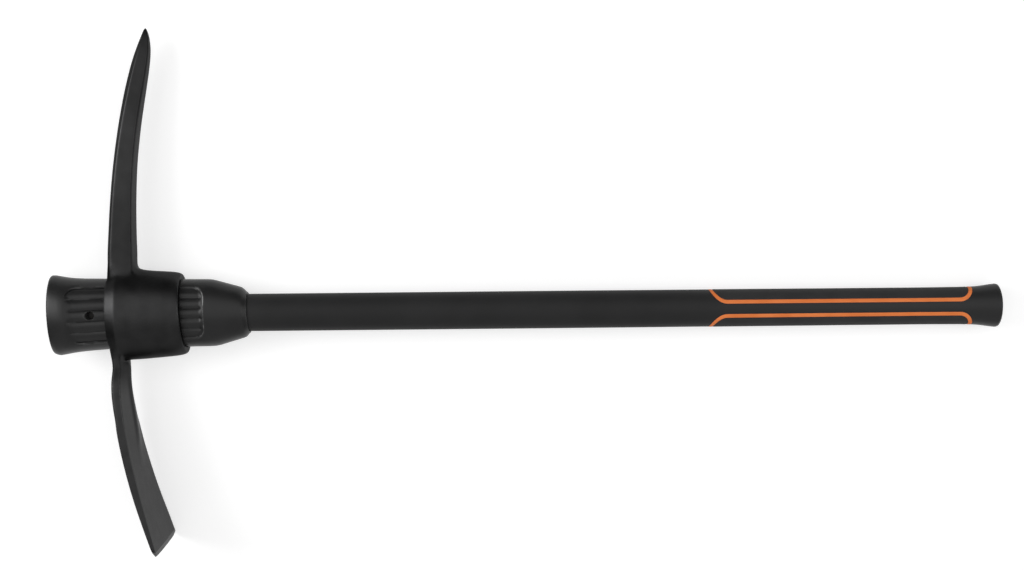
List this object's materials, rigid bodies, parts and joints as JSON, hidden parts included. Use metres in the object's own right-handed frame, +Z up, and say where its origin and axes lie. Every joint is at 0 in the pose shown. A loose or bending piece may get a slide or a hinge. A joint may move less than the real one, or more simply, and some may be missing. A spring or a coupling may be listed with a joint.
{
  "type": "pickaxe",
  "caption": "Pickaxe with a forged pointed and flat-bladed head that slides off over the butt of a fibreglass-cored handle.",
  "frame": {"origin": "bottom centre of the bounding box, with the tool lying on its side as it rests on a floor", "axes": "+X from the head towards the butt of the handle, +Y towards the point of the pick, +Z up; the handle's axis is tilted by 0.8 degrees and the head rolled by 2.6 degrees, because the tool rests on the adze corner, the eye and the butt"},
  "size_m": [0.9018, 0.4966, 0.0792],
  "materials": {
    "forged_steel": "dark satin lacquer over forged steel",
    "moulded_nylon": "black moulded nylon, satin",
    "pultruded_fibreglass": "pultruded glass fibre rod, dull",
    "shaft_casing": "black moulded casing, satin",
    "grip_rubber": "soft black rubber, dull",
    "orange_elastomer": "soft orange line round each grip panel"
  },
  "bodies": {
    "handle": {"head_sleeve": "moulded_nylon", "core_rod": "pultruded_fibreglass", "shaft_jacket": "shaft_casing", "grip_pad_upper": "grip_rubber", "grip_pad_lower": "grip_rubber", "grip_inlay_upper": "orange_elastomer", "grip_inlay_lower": "orange_elastomer"},
    "head": {"pick_head": "forged_steel"}
  },
  "joints": [
    {"name": "head_slide", "type": "slide", "parent": "handle", "child": "head", "axis": [0.9999, 0.0016, -0.0135], "range_m": [0, 0.775]}
  ]
}
